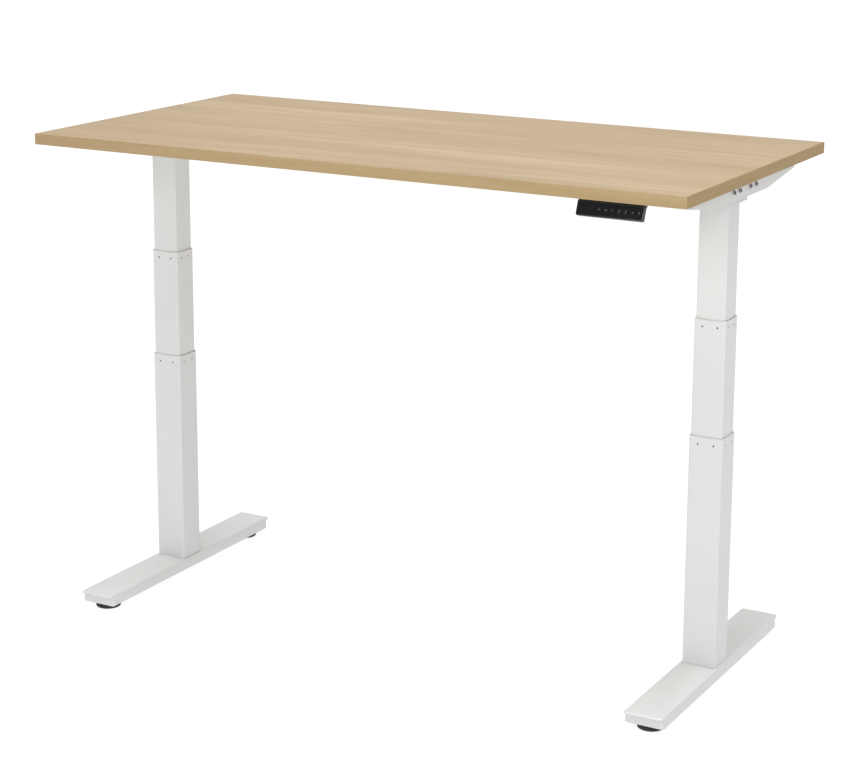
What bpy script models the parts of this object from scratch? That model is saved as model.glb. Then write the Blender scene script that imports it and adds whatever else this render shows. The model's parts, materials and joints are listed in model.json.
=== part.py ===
"""Height adjustable standing desk: two three-stage lifting columns under an oak laminate top.

Metres, +Z up. The origin is on the floor under the middle of the tabletop, X runs along the
tabletop and the user stands at -Y. The desk is modelled at a standing height.
"""
from math import cos, pi, radians, sin

import bmesh
import bpy
from mathutils import Matrix

COLLECTION = "standing_desk"
GAP = 0.0003            # between pieces that touch
SIDES = (("left", -1), ("right", 1))

# Tabletop: board with an edge band on each side
TOP_LENGTH = 1.600
TOP_DEPTH = 0.800
TOP_THICKNESS = 0.025
TOP_HEIGHT = 1.157
BAND = 0.002
BAND_ROUND = 0.0010
UNDERSIDE = TOP_HEIGHT - TOP_THICKNESS

# Feet
COLUMN_X = 0.711        # column centre from the middle of the desk
FOOT_LENGTH = 0.685     # over the lips of the top plate
FOOT_WIDTH = 0.088
FOOT_TOP = 0.043
FOOT_BOTTOM = 0.016
FOOT_LIP = 0.010        # how far the top plate stands out at each end
FOOT_LIP_THICKNESS = 0.0045
FOOT_SHEET = 0.0025
GLIDE_Y = 0.294
GLIDE_RADIUS = 0.030
STUD_RADIUS = 0.004
BOSS_RADIUS = 0.009

# Telescopic tubes, outermost first: width along X, depth along Y
TUBE_WALL = 0.0012
TUBE_STEP_X = 0.0053
TUBE_STEP_Y = 0.0042
OUTER_SIZE = (0.0780, 0.0716)
TUBE_CORNER = 0.004
OUTER_TOP = 0.5675
MIDDLE_TOP = 0.827
MIDDLE_LENGTH = 0.500
INNER_BOTTOM = 0.600
ARC_SAG = 0.0018        # the tube tops dip by this much in the middle of each face
PEG_DROPS = (0.0185, 0.0170)   # guide bush pegs below the top of the outer and middle tubes
PEG_SPREAD = 0.235      # peg offset from the face's middle, as a share of its width
PEG_RADIUS = 0.0018
PEG_SIDES = 10
PEG_RECESS = 0.0005     # from the tube's face in to the peg's end
BUSH_CLEARANCE = 0.00025
BUSH_LENGTH = 0.060
BUSH_RIM = 0.0006       # how far the bush stands above its tube
BASE_PLATE = 0.008      # closes the foot of the outer tube, with four screw holes
BASE_SCREW_RADIUS = 0.0043
BASE_SCREW_PLACES = ((-0.024, -0.021), (-0.024, 0.021), (0.024, -0.021), (0.024, 0.021))

# Lifting spindles
BASE_SPINDLE_RADIUS = 0.008
BASE_SPINDLE_BORE = 0.005
BASE_SPINDLE_TOP = 0.530
MIDDLE_SPINDLE_RADIUS = 0.012
MIDDLE_SPINDLE_BORE = 0.0095
MIDDLE_SPINDLE_TOP = 0.800
HUB_LENGTH = 0.020
SHAFT_RADIUS = 0.004    # across the corners of the hexagon, halved
SHAFT_BOTTOM = 0.610
SHAFT_TOP = 1.108
PLUG_LENGTH = 0.020

# Column head, gear motor, rails and side brackets under the top
HEAD_BOTTOM = 1.076
RAIL_BOTTOM = 1.0925
RAIL_TOP = 1.1275
RAIL_Y = 0.047
RAIL_WIDTH = 0.046
RAIL_SHEET = 0.002
RAIL_END_PLATE = 0.006
HEAD_REACH = (0.655, 0.752)
HEAD_HALF_DEPTH = 0.057
GEARBOX_REACH = (0.689, 0.752)
MOTOR_END = 0.590
MOTOR_RADIUS = 0.0165
MOTOR_LAP = 0.003       # of the motor into its gearbox
GEARBOX_CLEARANCE = 0.0015
SHAFT_SOCKET_RADIUS = 0.0055
BRACKET_FACE = 0.766
BRACKET_SHEET = 0.003
BRACKET_BOTTOM = 1.090
BRACKET_FLAT = 0.137    # half of the deep, straight stretch of its lower edge
BRACKET_TIP_HEIGHT = 1.1115
BRACKET_HALF_LENGTH = 0.302
BRACKET_FLANGE = 0.050
FLANGE_SCREW_RADIUS = 0.0028
FLANGE_SCREW_INSET = 0.008
FLANGE_SCREWS = (-0.260, -0.110, 0.110, 0.260)
BOLT_Z = 1.110
BOLT_SPACING = 0.033
BOLT_HEAD_RADIUS = 0.0050
BOLT_HEAD_HEIGHT = 0.0034
BOLT_RADIUS = 0.0027
BOLT_LENGTH = 0.014
BOLT_SOCKET_RADIUS = 0.0034
BOLT_SOCKET_FLOOR = 0.0014     # above the seat of the head

# Control box
CONTROL_BOX = ((-0.150, 0.150), (0.105, 0.190), (1.0975, UNDERSIDE - GAP))
CONTROL_WALL = 0.0025
SOCKET_RISE = 0.0155    # socket centres above the control box's underside
SOCKETS = ((-0.120, 0.028, 0.019), (-0.065, 0.013, 0.012), (-0.035, 0.013, 0.012), (0.000, 0.013, 0.012))

# Handset under the front edge: its face leans back at the top
HANDSET_X = 0.6335
HANDSET_WIDTH = 0.145
HANDSET_FACE_Y = -0.3915
HANDSET_FACE_Z = 1.1138
HANDSET_FACE_HEIGHT = 0.032
HANDSET_TILT = radians(20)
HANDSET_BACK_Y = -0.340
HANDSET_FLANGE = 0.0032
PANEL_SIZE = (0.1390, 0.0262)
PANEL_RECESS = 0.0003
PANEL_THICKNESS = 0.0015
PANEL_PIT = 0.0021
KEY_PIT = 0.0040
KEY_SIZE = (0.0122, 0.0180)
KEY_PITCH = 0.0144
FIRST_KEY = -0.0234
DISPLAY_SIZE = (0.034, 0.0150)
DISPLAY_X = -0.0490
KEYS = ("key_up", "key_down", "key_1", "key_2", "key_3", "key_4", "key_memory")

# Finishes: linear colour, roughness, metallic
FINISHES = {
    "oak_laminate": ((0.54, 0.41, 0.26), 0.45, 0.0),
    "oak_edge_band": ((0.45, 0.32, 0.18), 0.50, 0.0),
    "white_powder_coat": ((0.80, 0.80, 0.79), 0.40, 0.0),
    "grey_guide_plastic": ((0.35, 0.35, 0.34), 0.50, 0.0),
    "black_plastic": ((0.02, 0.02, 0.022), 0.45, 0.0),
    "gloss_black_panel": ((0.008, 0.008, 0.009), 0.12, 0.0),
    "spindle_steel": ((0.55, 0.55, 0.56), 0.30, 1.0),
    "zinc_bolt": ((0.32, 0.32, 0.33), 0.35, 1.0),
    "motor_metal": ((0.25, 0.25, 0.26), 0.45, 0.8),
    "glide_rubber": ((0.018, 0.018, 0.018), 0.70, 0.0),
}


# ---------------------------------------------------------------- scene and objects

def clear_scene():
    for item in list(bpy.data.objects):
        bpy.data.objects.remove(item)


def new_collection(name):
    collection = bpy.data.collections.get(name) or bpy.data.collections.new(name)
    if name not in bpy.context.scene.collection.children:
        bpy.context.scene.collection.children.link(collection)
    return collection


def finish(name, slot):
    """One Principled material per piece, coloured by its finish."""
    colour, roughness, metallic = FINISHES[slot]
    material = bpy.data.materials.new(f"{name}_{slot}")
    material.use_nodes = True
    shader = material.node_tree.nodes["Principled BSDF"]
    shader.inputs["Base Color"].default_value = (*colour, 1.0)
    shader.inputs["Roughness"].default_value = roughness
    shader.inputs["Metallic"].default_value = metallic
    return material


def new_object(name, mesh):
    item = bpy.data.objects.new(name, mesh)
    cutters.objects.link(item)
    item.hide_render = True
    item.display_type = "WIRE"
    return item


def piece(item, name, slot, origin=(0.0, 0.0, 0.0)):
    """Turns a shape into a finished piece of the desk, with its origin where it is given."""
    cutters.objects.unlink(item)
    desk.objects.link(item)
    item.name = name
    item.hide_render = False
    item.display_type = "TEXTURED"
    item.data.materials.clear()
    item.data.materials.append(finish(name, slot))
    item.data.transform(Matrix.Translation([-value for value in origin]))
    item.location = origin
    return item


def boolean(item, tool, operation):
    modifier = item.modifiers.new(operation.lower(), "BOOLEAN")
    modifier.object = tool
    modifier.operation = operation
    modifier.solver = "EXACT"
    return item


def cut(item, tool):
    return boolean(item, tool, "DIFFERENCE")


def join(item, tool):
    return boolean(item, tool, "UNION")


# ---------------------------------------------------------------- shapes

def rounded_rectangle(width, depth, radius, centre=(0.0, 0.0), steps=3):
    """Corner points of a rectangle with round corners, anticlockwise."""
    points = []
    for corner, (across, along) in enumerate(((1, 1), (-1, 1), (-1, -1), (1, -1))):
        middle_x = centre[0] + across * (width / 2 - radius)
        middle_y = centre[1] + along * (depth / 2 - radius)
        for step in range(steps + 1):
            angle = (corner + step / steps) * pi / 2
            points.append((middle_x + radius * cos(angle), middle_y + radius * sin(angle)))
    return points


def circle(radius, centre=(0.0, 0.0), sides=16, turn=0.0):
    angles = [turn + 2 * pi * index / sides for index in range(sides)]
    return [(centre[0] + radius * cos(angle), centre[1] + radius * sin(angle)) for angle in angles]


def extruded(name, outlines, low, high, axis="Z"):
    """A flat shape, its later outlines being holes, from low to high along an axis.

    Outlines are (x, y) for axis Z, (y, z) for axis X and (x, z) for axis Y.
    """
    curve = bpy.data.curves.new(name, "CURVE")
    curve.dimensions = "2D"
    curve.fill_mode = "BOTH"
    curve.extrude = (high - low) / 2
    for outline in outlines:
        spline = curve.splines.new("POLY")
        spline.points.add(len(outline) - 1)
        for point, (across, up) in zip(spline.points, outline):
            point.co = (across, up, 0.0, 1.0)
        spline.use_cyclic_u = True
    outline_object = bpy.data.objects.new(name, curve)
    cutters.objects.link(outline_object)
    evaluated = outline_object.evaluated_get(bpy.context.evaluated_depsgraph_get())
    mesh = bpy.data.meshes.new_from_object(evaluated)
    bpy.data.objects.remove(outline_object)
    form = bmesh.new()
    form.from_mesh(mesh)
    bmesh.ops.remove_doubles(form, verts=form.verts, dist=1e-6)
    form.to_mesh(mesh)
    form.free()
    middle = (low + high) / 2
    turns = {
        "Z": Matrix(((1, 0, 0, 0), (0, 1, 0, 0), (0, 0, 1, middle), (0, 0, 0, 1))),
        "X": Matrix(((0, 0, 1, middle), (1, 0, 0, 0), (0, 1, 0, 0), (0, 0, 0, 1))),
        "Y": Matrix(((1, 0, 0, 0), (0, 0, -1, middle), (0, 1, 0, 0), (0, 0, 0, 1))),
    }
    mesh.transform(turns[axis])
    return new_object(name, mesh)


def box(name, across, along, up, bevel=0.0):
    """A box between pairs of x, y and z, with rounded edges if bevel is given."""
    form = bmesh.new()
    bmesh.ops.create_cube(form, size=1.0)
    spans = (sorted(across), sorted(along), sorted(up))
    for vertex in form.verts:
        vertex.co = [low + (value + 0.5) * (high - low) for value, (low, high) in zip(vertex.co, spans)]
    if bevel:
        bmesh.ops.bevel(form, geom=form.edges, offset=bevel, segments=2, profile=0.5, affect="EDGES")
    mesh = bpy.data.meshes.new(name)
    form.to_mesh(mesh)
    form.free()
    return new_object(name, mesh)


def turned(name, profile, x, y, sides=20):
    """A profile of (radius, height) turned round Z: down the outside, and up the inside if hollow."""
    mesh = bpy.data.meshes.new(name)
    corners = [(radius, 0.0, height) for radius, height in profile]
    edges = list(zip(range(len(corners) - 1), range(1, len(corners))))
    hollow = profile[0][0] > 0.0
    if hollow:
        edges.append((len(corners) - 1, 0))
    mesh.from_pydata(corners, edges, [])
    item = new_object(name, mesh)
    screw = item.modifiers.new("turn", "SCREW")
    screw.steps = sides
    screw.render_steps = sides
    screw.use_merge_vertices = True
    screw.merge_threshold = 1e-5
    evaluated = item.evaluated_get(bpy.context.evaluated_depsgraph_get())
    result = bpy.data.meshes.new_from_object(evaluated)
    bpy.data.objects.remove(item)
    result.transform(Matrix.Translation((x, y, 0.0)))
    return new_object(name, result)


def shifted(points, x, y):
    return [(across + x, along + y) for across, along in points]


# ---------------------------------------------------------------- columns

def tube_size(stage):
    """Outer width and depth of the outer (0), middle (1) or inner (2) tube."""
    return OUTER_SIZE[0] - stage * TUBE_STEP_X, OUTER_SIZE[1] - stage * TUBE_STEP_Y


def tube_outlines(x, stage, outset=0.0, wall=TUBE_WALL):
    """Outside and inside of a stage, as a pair of outlines round a column at x."""
    width, depth = tube_size(stage)
    outside = rounded_rectangle(width + 2 * outset, depth + 2 * outset, TUBE_CORNER, (x, 0.0))
    inside = rounded_rectangle(width + 2 * (outset - wall), depth + 2 * (outset - wall),
                               TUBE_CORNER - wall, (x, 0.0))
    return [outside, inside]


def dip_top(item, x, stage, top):
    """Cuts the shallow concave arcs into the tops of the four faces."""
    width, depth = tube_size(stage)
    for axis, half, centre in (("Y", width / 2, x), ("X", depth / 2, 0.0)):
        radius = (half ** 2 + ARC_SAG ** 2) / (2 * ARC_SAG)
        low, high = (-0.06, 0.06) if axis == "Y" else (x - 0.06, x + 0.06)
        arc = circle(radius, (centre, top - ARC_SAG + radius), sides=160)
        cut(item, extruded("arc_cutter", [arc], low, high, axis))
    return item


def peg_places(x, stage, top):
    """Axis, position and outward sign of the eight pegs round a tube top."""
    width, depth = tube_size(stage)
    height = top - PEG_DROPS[stage]
    for sign in (-1, 1):
        for offset in (-PEG_SPREAD, PEG_SPREAD):
            yield "Y", (x + offset * width, height), sign * depth / 2
            yield "X", (offset * depth, height), x + sign * width / 2


def telescopic_tube(side_x, stage, bottom, top):
    tube = extruded("tube", tube_outlines(side_x, stage), bottom, top)
    dip_top(tube, side_x, stage, top)
    for axis, centre, face in peg_places(side_x, stage, top):
        hole = circle(PEG_RADIUS + GAP, centre, sides=PEG_SIDES)
        cut(tube, extruded("peg_hole", [hole], face - 0.004, face + 0.004, axis))
    return tube


def guide_bush(side_x, stage, top):
    """A thin plastic sleeve in the top of a tube, held by pegs through the tube's wall."""
    width, depth = tube_size(stage)
    next_width, next_depth = tube_size(stage + 1)
    wall_gap = TUBE_WALL + BUSH_CLEARANCE
    outside = rounded_rectangle(width - 2 * wall_gap, depth - 2 * wall_gap,
                                TUBE_CORNER - wall_gap, (side_x, 0.0))
    inside = rounded_rectangle(next_width + 2 * BUSH_CLEARANCE, next_depth + 2 * BUSH_CLEARANCE,
                               TUBE_CORNER + BUSH_CLEARANCE / 2, (side_x, 0.0))
    bush = extruded("bush", [outside, inside], top - BUSH_LENGTH, top + BUSH_RIM)
    dip_top(bush, side_x, stage, top + BUSH_RIM)
    for axis, centre, face in peg_places(side_x, stage, top):
        middle = side_x if axis == "X" else 0.0
        sign = 1 if face > middle else -1
        tip = face - sign * PEG_RECESS
        root = face - sign * (wall_gap + 0.0002)
        peg = circle(PEG_RADIUS, centre, sides=PEG_SIDES)
        join(bush, extruded("peg", [peg], min(tip, root), max(tip, root), axis))
    return bush


def end_plug(side_x, stage, bottom, bore):
    """A block in the bottom end of a tube, bored for a spindle."""
    width, depth = tube_size(stage)
    fit = TUBE_WALL + GAP
    outside = rounded_rectangle(width - 2 * fit, depth - 2 * fit, TUBE_CORNER - fit, (side_x, 0.0))
    return extruded("plug", [outside, circle(bore, (side_x, 0.0), 20)], bottom, bottom + PLUG_LENGTH)


def foot_bar(x):
    """A sheet steel foot, open underneath, whose top plate stands out at both ends."""
    plate = rounded_rectangle(FOOT_WIDTH, FOOT_LENGTH, 0.006, (x, 0.0))
    foot = extruded("foot", [plate], FOOT_TOP - FOOT_LIP_THICKNESS, FOOT_TOP)
    body_length = FOOT_LENGTH - 2 * FOOT_LIP
    skirt = [rounded_rectangle(FOOT_WIDTH - 0.0002, body_length, 0.003, (x, 0.0)),
             rounded_rectangle(FOOT_WIDTH - 2 * FOOT_SHEET, body_length - 2 * FOOT_SHEET, 0.001, (x, 0.0))]
    join(foot, extruded("foot_skirt", skirt, FOOT_BOTTOM, FOOT_TOP - 0.002))
    for sign in (-1, 1):
        place = (x, sign * GLIDE_Y)
        join(foot, extruded("boss", [circle(BOSS_RADIUS, place, 12)], FOOT_BOTTOM + 0.002, FOOT_TOP - 0.002))
        hole = circle(STUD_RADIUS + GAP, place, 12)
        cut(foot, extruded("stud_hole", [hole], FOOT_BOTTOM - 0.01, FOOT_TOP - 0.0030))
    return foot


def levelling_glide(x, y):
    """A round pad with a stud that screws up into the foot."""
    pad_top = FOOT_BOTTOM - 0.002
    stud_top = FOOT_TOP - 0.0045
    profile = [(0.0, stud_top), (STUD_RADIUS, stud_top), (STUD_RADIUS, pad_top),
               (GLIDE_RADIUS - 0.004, pad_top), (GLIDE_RADIUS, pad_top - 0.003),
               (GLIDE_RADIUS, 0.002), (GLIDE_RADIUS - 0.002, 0.0), (0.0, 0.0)]
    return turned("glide", profile, x, y)


def base_spindle(x):
    """The fixed screw that the middle stage climbs, hollow for the drive shaft."""
    bottom = FOOT_TOP + BASE_PLATE + 2 * GAP
    profile = [(BASE_SPINDLE_RADIUS, BASE_SPINDLE_TOP), (BASE_SPINDLE_RADIUS, bottom + 0.006),
               (0.014, bottom + 0.006), (0.014, bottom),
               (BASE_SPINDLE_BORE, bottom), (BASE_SPINDLE_BORE, BASE_SPINDLE_TOP)]
    return turned("base_spindle", profile, x, 0.0)


def middle_spindle(x):
    """The turning screw of the middle stage, with a nut at its foot and a hexagonal drive hub."""
    plug = MIDDLE_TOP - MIDDLE_LENGTH
    neck = MIDDLE_SPINDLE_RADIUS - 0.0005
    collar = 0.0155
    above = plug + PLUG_LENGTH + GAP
    below = plug - GAP
    nut_bore = BASE_SPINDLE_RADIUS + GAP
    hub = MIDDLE_SPINDLE_TOP - HUB_LENGTH
    profile = [(MIDDLE_SPINDLE_RADIUS, MIDDLE_SPINDLE_TOP), (MIDDLE_SPINDLE_RADIUS, above + 0.004),
               (collar, above + 0.004), (collar, above), (neck, above), (neck, below),
               (collar, below), (collar, below - 0.004), (nut_bore, below - 0.004),
               (nut_bore, above + 0.004), (MIDDLE_SPINDLE_BORE, above + 0.006),
               (MIDDLE_SPINDLE_BORE, hub), (0.003, hub), (0.003, MIDDLE_SPINDLE_TOP)]
    spindle = turned("middle_spindle", profile, x, 0.0)
    hexagon = circle(SHAFT_RADIUS + 0.0005, (x, 0.0), sides=6)
    return cut(spindle, extruded("hex_cutter", [hexagon], hub - 0.005, MIDDLE_SPINDLE_TOP + 0.005))


def build_column(label, side):
    x = side * COLUMN_X
    axis_foot = (x, 0.0, FOOT_TOP)
    piece(foot_bar(x), f"{label}_foot_bar", "white_powder_coat", axis_foot)
    for place, sign in (("front", -1), ("rear", 1)):
        glide = levelling_glide(x, sign * GLIDE_Y)
        piece(glide, f"{label}_{place}_glide", "glide_rubber", (x, sign * GLIDE_Y, 0.0))

    stands_on = FOOT_TOP + GAP
    outer = telescopic_tube(x, 0, stands_on, OUTER_TOP)
    plate_outline = rounded_rectangle(OUTER_SIZE[0] - TUBE_WALL, OUTER_SIZE[1] - TUBE_WALL, 0.003, (x, 0.0))
    screw_holes = [circle(BASE_SCREW_RADIUS, (x + across, along), 8) for across, along in BASE_SCREW_PLACES]
    join(outer, extruded("base_plate", [plate_outline, *screw_holes], stands_on, stands_on + BASE_PLATE))
    piece(outer, f"{label}_outer_tube", "white_powder_coat", axis_foot)
    piece(guide_bush(x, 0, OUTER_TOP), f"{label}_outer_bush", "grey_guide_plastic", (x, 0.0, OUTER_TOP))
    piece(base_spindle(x), f"{label}_base_spindle", "spindle_steel", axis_foot)

    middle_bottom = MIDDLE_TOP - MIDDLE_LENGTH
    axis_middle = (x, 0.0, middle_bottom)
    middle = telescopic_tube(x, 1, middle_bottom, MIDDLE_TOP)
    piece(middle, f"{label}_middle_tube", "white_powder_coat", axis_middle)
    piece(guide_bush(x, 1, MIDDLE_TOP), f"{label}_middle_bush", "grey_guide_plastic", (x, 0.0, MIDDLE_TOP))
    bore = MIDDLE_SPINDLE_RADIUS - 0.0005 + GAP
    piece(end_plug(x, 1, middle_bottom, bore), f"{label}_middle_plug", "black_plastic", axis_middle)
    piece(middle_spindle(x), f"{label}_middle_spindle", "spindle_steel", axis_middle)

    axis_inner = (x, 0.0, INNER_BOTTOM)
    inner = extruded("inner_tube", tube_outlines(x, 2), INNER_BOTTOM, HEAD_BOTTOM - GAP)
    piece(inner, f"{label}_inner_tube", "white_powder_coat", axis_inner)
    nut = end_plug(x, 2, INNER_BOTTOM, MIDDLE_SPINDLE_RADIUS + GAP)
    piece(nut, f"{label}_lift_nut", "black_plastic", axis_inner)
    shaft = extruded("shaft", [circle(SHAFT_RADIUS, (x, 0.0), sides=6)], SHAFT_BOTTOM, SHAFT_TOP)
    piece(shaft, f"{label}_drive_shaft", "spindle_steel", (x, 0.0, SHAFT_BOTTOM))


# ---------------------------------------------------------------- frame under the top

def column_head(side):
    """The cast plate that joins the inner tube, the gear motor and both rails."""
    low, high = HEAD_REACH
    outline = rounded_rectangle(high - low, 2 * HEAD_HALF_DEPTH, 0.004, (side * (low + high) / 2, 0.0))
    bore = circle(0.012, (side * COLUMN_X, 0.0))
    return extruded("head", [outline, bore], HEAD_BOTTOM, RAIL_BOTTOM - GAP)


def gear_motor(side):
    """A gearbox over the column with its motor lying along the desk."""
    near, far = GEARBOX_REACH
    half_width = RAIL_Y - RAIL_WIDTH / 2 - GEARBOX_CLEARANCE
    block = box("gearbox", (side * near, side * far), (-half_width, half_width), (RAIL_BOTTOM, RAIL_TOP),
                bevel=0.002)
    low, high = sorted((side * MOTOR_END, side * (near + MOTOR_LAP)))
    height = (RAIL_BOTTOM + RAIL_TOP) / 2 + 0.0005
    join(block, extruded("motor", [circle(MOTOR_RADIUS, (0.0, height), 20)], low, high, "X"))
    bore = circle(SHAFT_SOCKET_RADIUS, (side * COLUMN_X, 0.0))
    return cut(block, extruded("socket", [bore], RAIL_BOTTOM - 0.01, SHAFT_TOP + 0.002))


def bolt_rows():
    """The y of the four bolts that hold the two rails to a side bracket."""
    return [rail * RAIL_Y + offset * BOLT_SPACING / 2 for rail in (-1, 1) for offset in (-1, 1)]


def side_bracket(side):
    """A folded sheet under the top: a tapered outer plate and a flange screwed to the board."""
    top = UNDERSIDE - GAP
    half = ((BRACKET_FLAT, BRACKET_BOTTOM), (BRACKET_HALF_LENGTH - 0.002, BRACKET_TIP_HEIGHT),
            (BRACKET_HALF_LENGTH, BRACKET_TIP_HEIGHT + 0.002), (BRACKET_HALF_LENGTH, top))
    outline = [(y, z) for y, z in half] + [(-y, z) for y, z in reversed(half)]
    holes = [circle(BOLT_RADIUS + 0.0006, (y, BOLT_Z), 8) for y in bolt_rows()]
    low, high = sorted((side * (BRACKET_FACE - BRACKET_SHEET), side * BRACKET_FACE))
    bracket = extruded("bracket", [outline, *holes], low, high, "X")
    inner = side * (BRACKET_FACE - BRACKET_FLANGE)
    outer = side * (BRACKET_FACE - BRACKET_SHEET / 2)
    flange_middle = (inner + outer) / 2
    flange = rounded_rectangle(abs(outer - inner), 2 * BRACKET_HALF_LENGTH - 0.0004, 0.001,
                               (flange_middle, 0.0))
    screw_x = flange_middle - side * FLANGE_SCREW_INSET
    screws = [circle(FLANGE_SCREW_RADIUS, (screw_x, y), 8) for y in FLANGE_SCREWS]
    return join(bracket, extruded("flange", [flange, *screws], top - BRACKET_SHEET, top - 0.00005))


def rail(sign):
    """A folded channel, open at the top, with an end plate for the bracket bolts."""
    half = RAIL_WIDTH / 2
    lip = 0.008
    sheet = RAIL_SHEET
    section = [(-half, RAIL_BOTTOM), (half, RAIL_BOTTOM), (half, RAIL_TOP), (half - lip, RAIL_TOP),
               (half - lip, RAIL_TOP - sheet), (half - sheet, RAIL_TOP - sheet),
               (half - sheet, RAIL_BOTTOM + sheet), (sheet - half, RAIL_BOTTOM + sheet),
               (sheet - half, RAIL_TOP - sheet), (lip - half, RAIL_TOP - sheet),
               (lip - half, RAIL_TOP), (-half, RAIL_TOP)]
    section = shifted(section, sign * RAIL_Y, 0.0)
    reach = BRACKET_FACE - BRACKET_SHEET - GAP
    channel = extruded("rail", [section], -reach, reach, "X")
    inset = 0.0005
    plate = rounded_rectangle(RAIL_WIDTH - 2 * inset, RAIL_TOP - RAIL_BOTTOM - 2 * inset, 0.001,
                              (sign * RAIL_Y, (RAIL_TOP + RAIL_BOTTOM) / 2), steps=1)
    holes = [circle(BOLT_RADIUS + GAP, (sign * RAIL_Y + offset * BOLT_SPACING / 2, BOLT_Z), 8)
             for offset in (-1, 1)]
    for end in (-1, 1):
        low, high = sorted((end * (reach - RAIL_END_PLATE), end * (reach - inset)))
        join(channel, extruded("end_plate", [plate, *holes], low, high, "X"))
    return channel


def rail_bolt(side, y):
    """A socket head bolt through a side bracket into a rail's end plate."""
    seat = BRACKET_FACE + GAP
    low, high = sorted((side * seat, side * (seat + BOLT_HEAD_HEIGHT)))
    bolt = extruded("bolt_head", [circle(BOLT_HEAD_RADIUS, (y, BOLT_Z), 16)], low, high, "X")
    low, high = sorted((side * (seat - BOLT_LENGTH), side * (seat + 0.001)))
    join(bolt, extruded("bolt_shank", [circle(BOLT_RADIUS, (y, BOLT_Z), 8)], low, high, "X"))
    low, high = sorted((side * (seat + BOLT_SOCKET_FLOOR), side * (seat + 2 * BOLT_HEAD_HEIGHT)))
    return cut(bolt, extruded("bolt_socket", [circle(BOLT_SOCKET_RADIUS, (y, BOLT_Z), 6)], low, high, "X"))


def build_frame():
    for label, side in SIDES:
        x = side * COLUMN_X
        piece(column_head(side), f"{label}_column_head", "white_powder_coat", (x, 0.0, HEAD_BOTTOM))
        piece(gear_motor(side), f"{label}_gear_motor", "motor_metal", (x, 0.0, RAIL_BOTTOM))
        face = side * BRACKET_FACE
        piece(side_bracket(side), f"{label}_side_bracket", "white_powder_coat", (face, 0.0, UNDERSIDE))
        for number, y in enumerate(bolt_rows(), start=1):
            bolt = rail_bolt(side, y)
            piece(bolt, f"{label}_rail_bolt_{number}", "zinc_bolt", (face, y, BOLT_Z))
    for label, sign in (("front", -1), ("rear", 1)):
        piece(rail(sign), f"{label}_rail", "white_powder_coat", (0.0, sign * RAIL_Y, RAIL_BOTTOM))


def build_top():
    half_length = TOP_LENGTH / 2
    half_depth = TOP_DEPTH / 2
    inset = BAND + GAP
    board = box("board", (inset - half_length, half_length - inset), (inset - half_depth, half_depth - inset),
                (UNDERSIDE, TOP_HEIGHT))
    piece(board, "tabletop_board", "oak_laminate", (0.0, 0.0, UNDERSIDE))

    def band_section(outside, sign):
        """Section of a band whose outer face is at outside, rounded on its two outer edges."""
        points = [(outside - sign * BAND, UNDERSIDE)]
        for centre_z, first in ((UNDERSIDE + BAND_ROUND, -pi / 2), (TOP_HEIGHT - BAND_ROUND, 0.0)):
            for step in range(4):
                angle = first + step * pi / 6
                across = outside - sign * BAND_ROUND * (1 - cos(angle))
                points.append((across, centre_z + BAND_ROUND * sin(angle)))
        points.append((outside - sign * BAND, TOP_HEIGHT))
        return points

    for label, sign in (("front", -1), ("rear", 1)):
        section = band_section(sign * half_depth, sign)
        band = extruded("band", [section], -half_length, half_length, "X")
        piece(band, f"{label}_edge_band", "oak_edge_band", (0.0, sign * half_depth, UNDERSIDE))
    reach = half_depth - inset
    for label, sign in SIDES:
        section = band_section(sign * half_length, sign)
        band = extruded("band", [section], -reach, reach, "Y")
        piece(band, f"{label}_edge_band", "oak_edge_band", (sign * half_length, 0.0, UNDERSIDE))


def build_control_box():
    """A shell screwed up under the board, closed above by a flat lid."""
    across, along, up = CONTROL_BOX
    wall = CONTROL_WALL
    lid_bottom = up[1] - wall
    shell = box("control_shell", across, along, (up[0], lid_bottom - GAP), bevel=0.0015)
    cut(shell, box("control_hollow", (across[0] + wall, across[1] - wall),
                   (along[0] + wall, along[1] - wall), (up[0] + wall, up[1] + 0.01)))
    for x, width, height in SOCKETS:
        centre = (x, up[0] + SOCKET_RISE)
        mouth = rounded_rectangle(width, height, 0.0015, centre, steps=2)
        cut(shell, extruded("socket_cutter", [mouth], along[1] - 0.006, along[1] + 0.006, "Y"))
    middle = (0.0, sum(along) / 2, up[0])
    piece(shell, "control_box_shell", "black_plastic", middle)
    piece(box("control_lid", across, along, (lid_bottom, up[1])), "control_box_lid", "black_plastic", middle)


# ---------------------------------------------------------------- handset

def handset_frame():
    """From the handset's own frame (x along the face, -y out of it, z up it) to the desk's."""
    move = Matrix.Translation((HANDSET_X, HANDSET_FACE_Y, HANDSET_FACE_Z))
    return move @ Matrix.Rotation(-HANDSET_TILT, 4, "X")


def on_handset(item):
    """Puts a shape made in the handset's own frame in its place on the desk."""
    item.data.transform(handset_frame())
    return item


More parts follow.
